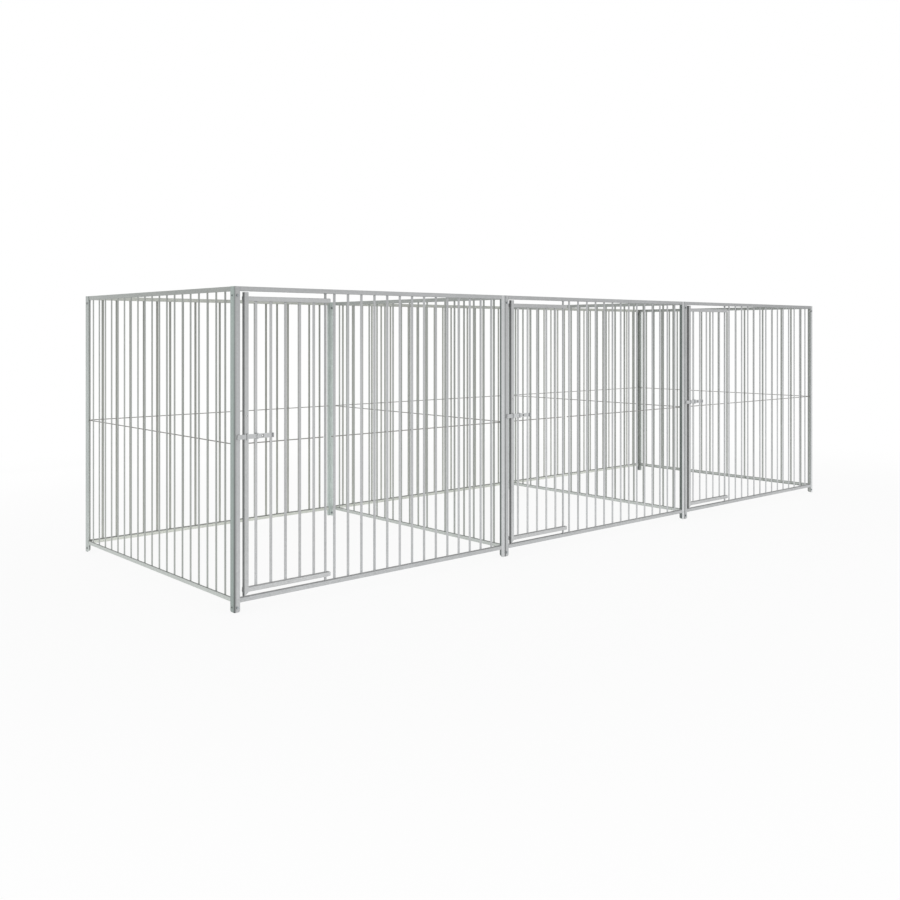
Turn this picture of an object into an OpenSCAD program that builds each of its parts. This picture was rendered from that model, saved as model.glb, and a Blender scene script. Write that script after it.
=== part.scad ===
// Outdoor dog kennel run: three bays in a row, each with a barred door, bolted up from ten
// welded panels of galvanised angle, tube, flat bar and rod. Open at the top and at the bottom.
// Millimetres, +Z up. The run lies along X, the doors face -Y, and the feet stand on Z = 0.
// Inside the modules each bay starts at X = 0 and the front faces of the panels lie at Y = 0.

/* [Run] */
// Width of one bay, outside to outside
bay_w = 2000; // [1500:10:3000]
// Depth of the run between the outer faces of the front and rear panels
depth = 2000; // [1200:10:3000]
// Height of a panel from the underside of its bottom rail to its top edge
frame_h = 1670; // [1300:10:2200]
// Height of the feet below the bottom rail
foot_h = 50; // [36:1:90]

/* [Uprights] */
// Leg of an upright that lies in the plane of its panel
post_leg = 33; // [30:1:50]
// Return leg of the front and rear uprights
post_return = 45; // [38:1:60]
// Gap between the edge of a nested side upright and the rails beside it
nest_gap = 1; // [0.5:0.5:3]
// Thickness of the uprights
post_t = 4; // [3:0.5:5]
// Radius of the free corner of each foot
foot_r = 12; // [4:1:16]

/* [Rails and bars] */
// Height and depth of the tubes in the front and rear panels
rail = 25; // [24:1:36]
// Height of the angle rails in the side panels
side_rail_h = 27; // [20:1:36]
// Depth of the angle rails in the side panels
side_rail_d = 20; // [14:1:28]
// Thickness of the angle rails
side_rail_t = 3; // [2:0.5:4]
// Wall of the tubes
rail_t = 2; // [1.5:0.5:3]
// Inner radius of the corners of the tubes
rail_r = 1; // [0.5:0.5:2]
// Width of the flat bars
bar_w = 16; // [10:1:22]
// Thickness of the flat bars
bar_t = 3; // [2:0.5:5]
// Wanted distance from bar to bar in the fixed panels
bar_pitch = 98; // [70:1:130]
// Distance from the outside of a panel to the middle of its first bar
bar_end = 114; // [90:1:140]
// Diameter of the tie rods at mid height
rod_d = 6; // [4:0.5:8]

/* [Door] */
// Gap between the door post and the door stile
door_gap = 25; // [12:1:32]
// Distance from the outer edge of the stile to the hinge axis
door_w = 527; // [480:1:800]
// Gap between the stile and the top rail of the panel
door_top_gap = 5; // [2:0.5:12]
// Gap between the stile and the bottom rail of the panel
door_foot_gap = 3; // [2:0.5:10]
// Front flange of the stile
stile_w = 26; // [24:1:36]
// Return leg of the stile
stile_d = 20; // [19:1:28]
// Thickness of the stile
stile_t = 3; // [2:0.5:4]
// Height of the small hole in the stile above the latch
stile_hole_rise = 110; // [60:1:200]
// Diameter of the small hole in the stile
stile_hole_d = 8; // [5:0.5:10]
// Height and depth of the tubes in the door
gate_rail = 25; // [24:1:30]
// Drop of the door's top rail below the top rail of the panel
gate_top_drop = 27; // [12:1:60]
// Rise of the door's bottom rail above the bottom rail of the panel
gate_foot_rise = 22; // [6:1:40]
// Clear gap between the stile and the first door bar
gate_first_gap = 45; // [40:1:60]
// Distance from bar to bar in the door
gate_pitch = 92.5; // [70:0.5:120]
// Least distance from the last door bar to the hinge axis
gate_last_gap = 40; // [20:1:48]
// Radius of the free corners of the door rails
gate_end_r = 6; // [2:0.5:8]

/* [Hinge] */
// Diameter of the round hinge bar
hinge_d = 14; // [10:0.5:16]
// Radial clearance of the hinge bar in the door
hinge_gap = 0.3; // [0.2:0.05:0.6]
// Reach of the door rails past the hinge axis
hinge_over = 28; // [20:1:34]
// Distance from the hinge axis to the first fixed bar
hinge_to_bar = 60; // [56:1:80]
// Gap between the collar that carries the door and the tube around it
collar_room = 1; // [0.5:0.1:1]
// Height of the collar
collar_h = 10; // [5:0.5:12]

/* [Latch] */
// Height of the latch above the tie rods
latch_rise = 38; // [30:1:80]
// Height of the slide bolt
bolt_h = 25; // [20:1:32]
// Thickness of the slide bolt
bolt_t = 4; // [3:0.5:6]
// Length of the slide bolt
bolt_len = 164; // [140:1:220]
// Clearance around the slide bolt
slide_gap = 0.5; // [0.3:0.1:1]
// Thickness of the guides and of the keeper
strap_t = 3; // [2:0.5:4]
// Width of a latch guide
strap_w = 8; // [6:0.5:10]
// Distance from the inner edge of the stile to its latch guide
strap_edge = 5; // [2:0.5:6]
// Diameter of the stop pin on the slide bolt
pin_d = 6; // [4:0.5:8]
// Height of the stop pin
pin_h = 3; // [2:0.5:4]
// Diameter of the padlock hole in the slide bolt
lock_hole_d = 10; // [6:0.5:14]
// Distance from the tail of the slide bolt to the padlock hole
lock_hole_in = 64; // [40:1:80]
// Reach of the bent finger tab at the tail
tab_d = 14; // [10:0.5:30]
// Radius of the corners of the slide bolt and the keeper
latch_r = 4; // [1:0.5:6]
// Distance from the outside of the post to the keeper
keeper_in = 14; // [10:0.5:16]
// Reach of the keeper over the stile
keeper_over = 7; // [5:0.5:9]
// Gap between the keeper and the tip of the slide bolt when it is drawn back
tip_gap = 3; // [1:0.5:4]

/* [Fasteners] */
// Diameter of the panel bolts
bolt_d = 8; // [6:1:10]
// Diameter of the holes for the panel bolts
hole_d = 9; // [8.5:0.5:12]
// Width across the flats of the bolt heads and nuts
hex_w = 13; // [10:1:15]
// Height of the bolt heads
head_h = 5.3; // [4:0.1:7]
// Height of the nuts
nut_h = 6.5; // [5:0.1:8]
// Length of bolt that stands out of a nut
bolt_end = 2.5; // [1:0.5:4]
// Room between the corner nuts and the nuts on the return legs
nut_room = 2.5; // [1:0.5:4]
// Height of the lower holes above the ground
foot_hole_z = 25; // [18:1:30]
// Distance of the upper holes below the top edge
top_hole_drop = 48; // [42:1:70]

/* [Hidden] */
$fn = 48;
bays = 3;
total_h = foot_h + frame_h;
run_w = bays * bay_w;
side_len = depth - 2 * post_t;
side_return = post_leg - post_t - nest_gap;
rail_len = bay_w - 2 * post_leg;
hole_heights = [foot_hole_z, total_h - top_hole_drop];
hole_x = post_t + side_return / 2;
hole_y = 2 * post_t + nut_h + bolt_end + nut_room + hex_w / cos(30) / 2;
hex_face = 0.95;
thread_gap = 0.1;
cut = 1;

bar_z0 = foot_h + rail;
bar_z1 = total_h - rail;
side_bar_y = side_rail_t + bar_t / 2;
rod_z = foot_h + frame_h / 2;
rod_tail = bar_w / 2;
rod_end_gap = 4;

stile_x = post_leg + door_gap;
stile_edge = stile_x + stile_w;
hinge_x = stile_x + door_w;
hinge_bore_d = hinge_d + 2 * hinge_gap;
collar_d = gate_rail - 2 * (rail_t + collar_room);
hinge_in = stile_t + gate_rail / 2;
stile_z0 = bar_z0 + door_foot_gap;
stile_z1 = bar_z1 - door_top_gap;
gate_z0 = bar_z0 + gate_foot_rise;
gate_z1 = bar_z1 - gate_top_drop;
gate_end_x = hinge_x + hinge_over;
gate_bar_x0 = stile_edge + gate_first_gap + bar_w / 2;
gate_bar_count = floor((hinge_x - gate_last_gap - bar_w / 2 - gate_bar_x0) / gate_pitch) + 1;
gate_bars_x = [for (i = [0 : gate_bar_count - 1]) gate_bar_x0 + i * gate_pitch];
gate_rod_end = hinge_x - hinge_d / 2 - rod_end_gap;

latch_z = rod_z + latch_rise;
bolt_front_y = -slide_gap - bolt_t;
strap_in_y = bolt_front_y - slide_gap;
strap_out_y = strap_in_y - strap_t;
keeper_end_x = stile_x + keeper_over;
bolt_tip_x = keeper_end_x + tip_gap;
bolt_tail_x = bolt_tip_x + bolt_len;
guides_x = [stile_edge - strap_edge - strap_w / 2, gate_bar_x0];
pin_x = guides_x[1] - strap_w / 2 - slide_gap - pin_d / 2;

// The finger tabs reach furthest forward and the bolt heads furthest back
front_reach = slide_gap + tab_d;
rear_reach = head_h;
middle = [run_w / 2, (depth + rear_reach - front_reach) / 2, 0];

galvanised = "#b3b8ba";
galvanised_door = "#bfc4c6";
zinc = "#8d9599";

// Bar positions from first to last, as near to the wanted pitch as whole gaps allow
function bar_row(first, last) =
    let (gaps = max(1, round((last - first) / bar_pitch)))
    [for (i = [0 : gaps]) first + i * (last - first) / gaps];

plain_bars_x = bar_row(bar_end, bay_w - bar_end);
front_bars_x = bar_row(hinge_x + hinge_to_bar, bay_w - bar_end);
front_rod_x0 = front_bars_x[0] - bar_w / 2 - rod_tail;
side_bars_x = bar_row(bar_end - post_t, side_len + post_t - bar_end);

// Places: every panel is drawn along X with its outer face at Y = 0, then set here
module at_front(i) {
    translate([i * bay_w, 0, 0] - middle) children();
}

module at_rear(i) {
    translate([i * bay_w, depth, 0] - middle) mirror([0, 1, 0]) children();
}

// Side panels 0 to 2 nest in the left uprights of their bay, and panel 3 closes the right end
module at_side(i) {
    if (i < bays)
        translate([i * bay_w + post_t, post_t, 0] - middle)
            mirror([1, 0, 0]) rotate([0, 0, 90]) children();
    else
        translate([run_w - post_t, post_t, 0] - middle) rotate([0, 0, 90]) children();
}

// Draws a child at X = 0 and its mirror image at X = length
module both_ends(length) {
    children();
    translate([length, 0, 0]) mirror([1, 0, 0]) children();
}

// Stands an XZ outline up as a plate that reaches from the given Y backwards
module plate_xz(y, thickness) {
    translate([0, y + thickness, 0]) rotate([90, 0, 0]) linear_extrude(thickness) children();
}

// What is cut away to round a corner at the origin of the quarter X > 0, Y > 0
module corner_waste(r) {
    difference() {
        translate([-cut, -cut]) square(r + cut);
        translate([r, r]) circle(r);
    }
}

// Section of a bent angle with its corner at the origin and one leg along each axis
module angle_section(leg_x, leg_y, thickness) {
    difference() {
        square([leg_x, leg_y]);
        translate([thickness, thickness]) square([leg_x, leg_y]);
        corner_waste(thickness);
    }
}

// Waste at the free corner of a foot, across a leg that lies along X
module foot_waste(leg) {
    plate_xz(-cut, post_t + 2 * cut) translate([leg, 0]) mirror([1, 0]) corner_waste(foot_r);
}

// Angle upright with its corner at the origin; a hole place of 0 leaves that leg undrilled
module upright(leg, return_leg, leg_hole, return_hole) {
    difference() {
        linear_extrude(total_h) angle_section(leg, return_leg, post_t);
        foot_waste(leg);
        mirror([1, 0, 0]) rotate([0, 0, 90]) foot_waste(return_leg);
        for (z = hole_heights) {
            if (leg_hole > 0)
                translate([leg_hole, -cut, z]) rotate([-90, 0, 0]) cylinder(d = hole_d, h = post_t + 2 * cut);
            if (return_hole > 0)
                translate([-cut, return_hole, z])
                    rotate([0, 90, 0]) cylinder(d = hole_d, h = post_t + 2 * cut);
        }
    }
}

// Uprights of a front or rear panel. Only a leg that a side panel nests behind is drilled in front
module outer_uprights(i) {
    upright(post_leg, post_return, hole_x, hole_y);
    translate([bay_w, 0, 0]) mirror([1, 0, 0])
        upright(post_leg, post_return, i == bays - 1 ? hole_x : 0, hole_y);
}

module side_uprights() {
    both_ends(side_len) upright(post_leg, side_return, hole_y - post_t, hole_x - post_t);
}

// Square with all four corners rounded, from the origin
module rounded_square(side, r) {
    difference() {
        square(side);
        for (x = [0, 1], y = [0, 1])
            translate([x * side, y * side]) mirror([x, 0]) mirror([0, y]) corner_waste(r);
    }
}

// Square tube along +X, from the origin
module tube(length, side) {
    rotate([90, 0, 90]) linear_extrude(length) difference() {
        rounded_square(side, rail_r + rail_t);
        translate([rail_t, rail_t]) rounded_square(side - 2 * rail_t, rail_r);
    }
}

// The bottom and the top rail of a front or rear panel
module tube_rails() {
    for (z = [foot_h, total_h - rail])
        translate([post_leg, 0, z]) tube(rail_len, rail);
}

// Angle rail of a side panel with its outer face at Y = 0 and its horizontal leg at the bottom
module angle_rail() {
    translate([post_leg, 0, 0]) rotate([90, 0, 90]) linear_extrude(side_len - 2 * post_leg)
        angle_section(side_rail_d, side_rail_h, side_rail_t);
}

// The bottom rail of a side panel and, turned over, its top rail
module angle_rails() {
    translate([0, 0, foot_h]) angle_rail();
    translate([0, 0, total_h]) mirror([0, 0, 1]) angle_rail();
}

// Flat bars that stand between two rails, with their middle at the given Y
module flat_bars(places, y, z0, z1) {
    for (x = places)
        translate([x - bar_w / 2, y - bar_t / 2, z0]) cube([bar_w, bar_t, z1 - z0]);
}

// Rod welded across the inner faces of bars whose middle lies at the given Y
module rod(x0, x1, y) {
    translate([x0, y + bar_t / 2 + rod_d / 2, rod_z])
        rotate([0, 90, 0]) cylinder(d = rod_d, h = x1 - x0);
}

module hinge_bar() {
    translate([hinge_x, hinge_in, bar_z0]) cylinder(d = hinge_d, h = bar_z1 - bar_z0);
}

// Ring welded to the hinge bar inside the door's bottom rail, just under its upper wall
module hinge_collar() {
    top = gate_z0 + gate_rail - rail_t - hinge_gap;
    translate([hinge_x, hinge_in, top - collar_h]) difference() {
        cylinder(d = collar_d, h = collar_h);
        translate([0, 0, -cut]) cylinder(d = hinge_d + 2 * thread_gap, h = collar_h + 2 * cut);
    }
}

// Rectangle from two corners whose right-hand corners are rounded
module right_rounded(x0, z0, x1, z1, r) {
    difference() {
        translate([x0, z0]) square([x1 - x0, z1 - z0]);
        translate([x1, z0]) mirror([1, 0]) corner_waste(r);
        translate([x1, z1]) rotate(180) corner_waste(r);
    }
}

// Angle stile: the front flange is cut on the slant below the bottom rail of the door
module door_stile() {
    difference() {
        translate([stile_x, 0, stile_z0]) linear_extrude(stile_z1 - stile_z0)
            angle_section(stile_w, stile_d, stile_t);
        plate_xz(-cut, stile_t + 2 * cut) polygon([
            [stile_x + stile_t, stile_z0 - cut], [stile_x + stile_t, stile_z0],
            [stile_edge, gate_z0], [stile_edge + cut, gate_z0], [stile_edge + cut, stile_z0 - cut]
        ]);
        translate([stile_x + stile_w / 2, -cut, latch_z + stile_hole_rise])
            rotate([-90, 0, 0]) cylinder(d = stile_hole_d, h = stile_t + 2 * cut);
    }
}

// Door tube that fits into the stile, bored through both walls for the hinge bar
module door_rail(z) {
    length = gate_end_x - stile_x - stile_t;
    translate([0, 0, z]) difference() {
        translate([stile_x + stile_t, stile_t, 0]) tube(length, gate_rail);
        plate_xz(stile_t - cut, gate_rail + 2 * cut) for (top = [0, 1])
            translate([gate_end_x, top * gate_rail]) mirror([0, top]) mirror([1, 0]) corner_waste(gate_end_r);
        translate([hinge_x, hinge_in, -cut]) cylinder(d = hinge_bore_d, h = gate_rail + 2 * cut);
    }
}

// The lower wall of the bottom rail is bored wide enough to pass over the collar
module door_bottom_rail() {
    difference() {
        door_rail(gate_z0);
        translate([hinge_x, hinge_in, gate_z0 - cut])
            cylinder(d = collar_d + 2 * hinge_gap, h = rail_t + 2 * cut);
    }
}

module door_top_rail() {
    door_rail(gate_z1 - gate_rail);
}

// Staple over the slide bolt whose two feet stand on the surface at the given Y
module latch_guide(x, foot_y) {
    half = bolt_h / 2 + slide_gap;
    translate([x - strap_w / 2, 0, latch_z]) {
        translate([0, strap_out_y, -half - strap_t]) cube([strap_w, strap_t, 2 * (half + strap_t)]);
        for (z = [-half - strap_t, half])
            translate([0, strap_in_y, z]) cube([strap_w, foot_y - strap_in_y, strap_t]);
    }
}

// One guide on the stile and one on the first bar of the door
module door_latch_guides() {
    latch_guide(guides_x[0], 0);
    latch_guide(guides_x[1], hinge_in - bar_t / 2);
}

// Flat bolt with a rounded tip, a padlock hole, a stop pin between the guides and a bent finger tab
module slide_bolt() {
    translate([0, 0, latch_z]) {
        difference() {
            translate([bolt_tip_x + bolt_tail_x, 0, 0]) mirror([1, 0, 0]) plate_xz(bolt_front_y, bolt_t)
                right_rounded(bolt_tip_x, -bolt_h / 2, bolt_tail_x, bolt_h / 2, latch_r);
            translate([bolt_tail_x - lock_hole_in, bolt_front_y - cut, 0])
                rotate([-90, 0, 0]) cylinder(d = lock_hole_d, h = bolt_t + 2 * cut);
        }
        translate([pin_x, bolt_front_y, 0]) rotate([90, 0, 0]) cylinder(d = pin_d, h = pin_h);
        translate([bolt_tail_x - bolt_t, -slide_gap, 0]) rotate([90, 0, 90]) linear_extrude(bolt_t)
            mirror([1, 0]) right_rounded(0, -bolt_h / 2, tab_d, bolt_h / 2, latch_r);
    }
}

// Joggled strip on the post: its foot stands on the front leg, and its plate laps over the stile
module latch_keeper() {
    translate([0, 0, latch_z]) {
        plate_xz(strap_out_y, strap_t)
            right_rounded(keeper_in, -bolt_h / 2, keeper_end_x, bolt_h / 2, latch_r);
        translate([keeper_in, strap_in_y, -bolt_h / 2]) cube([strap_t, -strap_in_y, bolt_h]);
    }
}

// Hexagon along +Z whose upper corners are turned off by a cone
module hex_block(h) {
    corner = hex_w / cos(30) / 2;
    face = hex_face * hex_w / 2;
    outer = corner + cut;
    intersection() {
        cylinder(r = corner, h = h, $fn = 6);
        rotate_extrude()
            polygon([[0, 0], [outer, 0], [outer, h - (outer - face) * tan(30)], [face, h], [0, h]]);
    }
}

// Hex bolt along +Z with its head below Z = 0, and its nut on top of the clamped thickness
module hex_bolt(grip) {
    mirror([0, 0, 1]) hex_block(head_h);
    cylinder(d = bolt_d, h = grip + nut_h + bolt_end);
}

module hex_nut(grip) {
    translate([0, 0, grip]) difference() {
        hex_block(nut_h);
        translate([0, 0, -cut]) cylinder(d = bolt_d + 2 * thread_gap, h = nut_h + 2 * cut);
    }
}

// Bolt places of one front or rear side: through the front legs into the side panels
module corner_places() {
    for (i = [0 : bays], z = hole_heights)
        translate([i < bays ? i * bay_w + hole_x : run_w - hole_x, 0, z]) rotate([-90, 0, 0]) children();
}

// Bolt places of one front or rear side: through the return legs from panel to panel
module joint_places() {
    for (i = [1 : bays - 1], z = hole_heights)
        translate([i * bay_w - post_t, hole_y, z]) rotate([0, 90, 0]) children();
}

module both_faces() {
    at_front(0) children();
    at_rear(0) children();
}

module panel_bolts() {
    color(zinc) both_faces() {
        corner_places() hex_bolt(2 * post_t);
        joint_places() hex_bolt(3 * post_t);
    }
}

module panel_nuts() {
    color(zinc) both_faces() {
        corner_places() hex_nut(2 * post_t);
        joint_places() hex_nut(3 * post_t);
    }
}

module tie_rods() {
    color(galvanised) {
        for (i = [0 : bays - 1]) {
            at_front(i) rod(front_rod_x0, bay_w - post_leg, rail / 2);
            at_rear(i) rod(post_leg, bay_w - post_leg, rail / 2);
        }
        for (i = [0 : bays])
            at_side(i) rod(post_t, side_len - post_t, side_bar_y);
    }
}

module hinge_collars() {
    color(galvanised) for (i = [0 : bays - 1]) at_front(i) hinge_collar();
}

module latch_keepers() {
    color(zinc) for (i = [0 : bays - 1]) at_front(i) latch_keeper();
}

module front_uprights(i) { color(galvanised) at_front(i) outer_uprights(i); }
module front_rails(i) { color(galvanised) at_front(i) tube_rails(); }
module front_bars(i) {
    color(galvanised) at_front(i) flat_bars(front_bars_x, rail / 2, bar_z0, bar_z1);
}
module front_hinge_bar(i) { color(galvanised) at_front(i) hinge_bar(); }

module rear_uprights(i) { color(galvanised) at_rear(i) outer_uprights(i); }
module rear_rails(i) { color(galvanised) at_rear(i) tube_rails(); }
module rear_bars(i) {
    color(galvanised) at_rear(i) flat_bars(plain_bars_x, rail / 2, bar_z0, bar_z1);
}

module side_panel_uprights(i) { color(galvanised) at_side(i) side_uprights(); }
module side_panel_rails(i) { color(galvanised) at_side(i) angle_rails(); }
module side_panel_bars(i) {
    color(galvanised) at_side(i)
        flat_bars(side_bars_x, side_bar_y, foot_h + side_rail_t, total_h - side_rail_t);
}

module door_frame_stile(i) { color(galvanised_door) at_front(i) door_stile(); }
module door_frame_top_rail(i) { color(galvanised_door) at_front(i) door_top_rail(); }
module door_frame_bottom_rail(i) { color(galvanised_door) at_front(i) door_bottom_rail(); }
module door_frame_bars(i) {
    color(galvanised_door) at_front(i)
        flat_bars(gate_bars_x, hinge_in, gate_z0 + gate_rail, gate_z1 - gate_rail);
}
module door_frame_tie_rod(i) {
    color(galvanised_door) at_front(i) rod(stile_x + stile_t, gate_rod_end, hinge_in);
}
module door_frame_guides(i) { color(zinc) at_front(i) door_latch_guides(); }
module door_slide_bolt(i) { color(zinc) at_front(i) slide_bolt(); }

for (i = [0 : bays - 1]) {
    front_uprights(i);
    front_rails(i);
    front_bars(i);
    front_hinge_bar(i);
    rear_uprights(i);
    rear_rails(i);
    rear_bars(i);
    door_frame_stile(i);
    door_frame_top_rail(i);
    door_frame_bottom_rail(i);
    door_frame_bars(i);
    door_frame_tie_rod(i);
    door_frame_guides(i);
    door_slide_bolt(i);
}

side_names = ["left_end", "partition_1", "partition_2", "right_end"];
for (i = [0 : bays]) {
    side_panel_uprights(i);
    side_panel_rails(i);
    side_panel_bars(i);
}

tie_rods();
hinge_collars();
latch_keepers();
panel_bolts();
panel_nuts();
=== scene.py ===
import math

import bpy
import numpy as np
from bpy.props import FloatProperty, FloatVectorProperty, IntProperty, PointerProperty
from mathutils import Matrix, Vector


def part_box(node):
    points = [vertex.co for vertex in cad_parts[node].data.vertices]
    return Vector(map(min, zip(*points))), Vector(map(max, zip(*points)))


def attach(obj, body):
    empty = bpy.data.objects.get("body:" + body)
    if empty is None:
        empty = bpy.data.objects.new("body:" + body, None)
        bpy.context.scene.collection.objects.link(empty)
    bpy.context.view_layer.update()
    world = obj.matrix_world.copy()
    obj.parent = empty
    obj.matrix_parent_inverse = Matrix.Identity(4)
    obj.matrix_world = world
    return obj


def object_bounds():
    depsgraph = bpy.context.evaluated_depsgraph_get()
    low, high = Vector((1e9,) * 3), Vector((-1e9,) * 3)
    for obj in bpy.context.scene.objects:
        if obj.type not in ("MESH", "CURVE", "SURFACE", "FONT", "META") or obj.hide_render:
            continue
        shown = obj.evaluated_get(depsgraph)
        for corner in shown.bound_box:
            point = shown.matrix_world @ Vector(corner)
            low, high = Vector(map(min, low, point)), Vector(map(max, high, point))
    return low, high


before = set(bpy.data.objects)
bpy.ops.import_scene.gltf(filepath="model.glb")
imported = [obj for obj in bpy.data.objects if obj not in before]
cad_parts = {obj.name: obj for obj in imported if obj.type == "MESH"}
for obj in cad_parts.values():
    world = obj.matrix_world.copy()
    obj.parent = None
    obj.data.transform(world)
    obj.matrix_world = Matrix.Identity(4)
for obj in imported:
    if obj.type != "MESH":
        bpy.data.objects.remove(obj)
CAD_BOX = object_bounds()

bl_info = {
    "name": "Outdoor dog kennel run",
    "version": (1, 0, 0),
    "blender": (4, 5, 0),
    "location": "3D View > Sidebar > Kennel run",
    "description": "Galvanised finishes, weld beads and a studio for a three-bay kennel run",
    "category": "Object",
}

BAYS = (1, 2, 3)
SIDES = ("left_end", "partition_1", "partition_2", "right_end")
X_AXIS, Y_AXIS, Z_AXIS = np.eye(3)
ROW_AXES = (X_AXIS, Y_AXIS)
FACES = {"-X": (0, -1.0), "-Y": (1, -1.0), "+Z": (2, 1.0)}

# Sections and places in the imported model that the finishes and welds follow, in metres.
BAR_WIDTH, BAR_THICK = 0.016, 0.003
ROD_WIDE, ROD_HEIGHT = 0.006, 0.885
TUBE_SIDE = 0.025
ANGLE_HEIGHT, ANGLE_THICK = 0.027, 0.003
STRAP_WIDE, STRAP_THICK = 0.008, 0.003
STILE_FLANGE = 0.026
MID_HEIGHT = 0.86

# Small holes, from an edge, the latch or the floor, and the grime and painted shade round them.
LOCK_HOLE_IN, LOCK_GRIME_SHADE_RADIUS = 0.064, 0.0072
STILE_HOLE_RISE, STILE_GRIME_SHADE_RADIUS = 0.110, 0.0055
JOINT_HOLE_IN, JOINT_HOLE_HEIGHTS = 0.027, (0.025, 1.672)
JOINT_GRIME_SHADE_RADIUS, REAR_GRIME_SHADE_RADIUS = 0.0053, 0.0090

# Lines of painted shade on the coat: widths and a margin in metres, strength at the foot and its loss in a
# metre.
HEEL_WIDE, HEEL_DEEP = 0.014, 0.016
HEEL_AT_FOOT, HEEL_LOSS = 1.15, 0.5
SHADE_LINE_WIDE = 0.005
MARGIN = 0.001

# Pattern of the zinc: scales to the metre, its shares in gloss and relief, and the contrast on some pieces.
WOBBLE_SCALE, WOBBLE_SHARE = 60.0, 0.7
STREAK_ALONG, STREAK_ACROSS = 2.2, 130.0
PIECE_ALONG, PIECE_ACROSS = 0.5, 8.7
CLOUD_SCALE, FINE_SCALE = 5.5, 520.0
CRYSTAL_GLOSS, CLOUD_GLOSS, FINE_GLOSS = 0.16, 0.20, 0.10
CRYSTAL_RELIEF, FINE_RELIEF, STREAK_RELIEF = 0.5, 0.5, 0.4
BUMP_STRENGTH, BUMP_HEIGHT = 0.22, 0.0006
BAR_PATCHES, ROD_SPANGLE = 0.8, 0.5
PLATE_SPANGLE, PLATE_PATCHES = 0.2, 0.6

# Brightness that is left on the shaded faces of front panels and doors.
SHADED = 0.42

# Shapes of the welds: ripples of a bead, corners round a tube, and the lumps on a rod in metres.
RIPPLE_STEP, WIDE_RIPPLE, SHORT_RIPPLE = 2.399, 0.16, 0.08
TUBE_POWER, TUBE_TURNS = 9.0, 28
LUMP_SWELL = 0.12
LUMP_OUT, LUMP_SINK, LUMP_WIDE = 0.0008, 0.0002, 0.0013

# Studio, in metres, with the camera's sensor in millimetres.
WHITE = (1.0, 1.0, 1.0, 1.0)
LIGHT_LONG, LIGHT_TALL = 8.0, 1.6
LIGHT_AWAY, LIGHT_HEIGHT = 5.4, 1.1
LIGHT_TILT = math.radians(92.0)
FLOOR_REACH, VIEW_REACH = 60.0, 200.0
SENSOR_WIDE = 36.0


def tone(name, description, default):
    """A colour that a user may change."""
    return FloatVectorProperty(name=name, description=description, subtype="COLOR",
                               size=3, min=0.0, max=1.0, default=default)


def length(name, description, default):
    """A size in metres that a user may change."""
    return FloatProperty(name=name, description=description, default=default, min=0.0,
                         subtype="DISTANCE", unit="LENGTH", precision=4)


def share(name, description, default):
    """A share from 0 to 1 that a user may change."""
    return FloatProperty(name=name, description=description, default=default, min=0.0, max=1.0,
                         subtype="FACTOR")


def number(name, description, default):
    """A number of bars that a user may change."""
    return IntProperty(name=name, description=description, default=default, min=2)


class KennelZinc(bpy.types.PropertyGroup):
    """Colours and grain of the zinc coats."""

    front: tone("Front panels", "Zinc on the front panels", (0.505, 0.515, 0.520))
    rear: tone("Rear panels", "Zinc on the rear panels, duller and more olive", (0.455, 0.470, 0.434))
    side: tone("Side panels", "Zinc on the ends and partitions, faintly green", (0.408, 0.428, 0.406))
    side_rail: tone("Side rails", "Zinc on the rails of the ends and partitions", (0.504, 0.532, 0.510))
    door: tone("Doors", "Zinc on the doors, a little brighter", (0.525, 0.533, 0.536))
    corner: tone("Rear uprights", "Zinc on the rear uprights, grey with some teal", (0.500, 0.538, 0.520))
    # The flank colour is a painted shade, darker and teal, on faces that point along X.
    flank: tone("Flanks", "Zinc on the flanks of the front uprights, dull and teal", (0.375, 0.434, 0.412))
    rod: tone("Tie rods", "Thin, dull zinc on the tie rods", (0.300, 0.295, 0.280))
    latch: tone("Latches", "Zinc on the latches, worn smooth", (0.528, 0.538, 0.544))
    # The dark tone of the nuts is a painted shade.
    nut: tone("Nuts", "Dull zinc plate on the nuts, dark with grease", (0.170, 0.178, 0.180))
    fastener: tone("Bolts", "Bright zinc plate, slightly blue", (0.400, 0.428, 0.445))
    weld: tone("Welds", "Zinc over the weld beads", (0.470, 0.480, 0.480))
    spangle: length("Spangle size", "Width of one zinc crystal", 0.011)
    spangle_share: share("Spangle contrast", "How far the crystals differ in tone", 0.13)
    patch_share: share("Patch contrast", "How far dull and bright patches differ", 0.13)
    streak_share: share("Streak contrast", "How far the rolling streaks differ", 0.08)
    pale_share: share("Paler uprights", "How much paler the right-hand front uprights are", 0.20)
    # The heel line is a painted shade along the heel of a front upright.
    heel_shade_share: share("Heel line", "How dull a front upright is along its heel", 0.70)
    # The darkening of the flanks towards the foot is a painted shade.
    flank_fade: share("Fade of the flanks", "How much darker the flanks grow in a metre towards the foot",
                      0.24)
    # A line of painted shade along the tops of the low rails.
    shade_line_share: share("Dust line", "How dark the line of dust along the bottom rails is", 0.55)
    # Grime and painted shade round the small holes.
    hole_grime_shade: share("Grime round holes", "How dark the grime round the small holes is", 0.86)
    piece_share: share("Change from bar to bar", "How far neighbouring bars differ", 0.24)
    # The fade with height is a painted shade: the coat grows darker towards the top.
    fade: share("Fade with height", "How much duller the coat is at the top than at the foot", 0.30)
    metal: share("Metallic", "How metallic the coat is", 0.45)
    rough: share("Roughness", "Middle roughness of the coat", 0.46)


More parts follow.
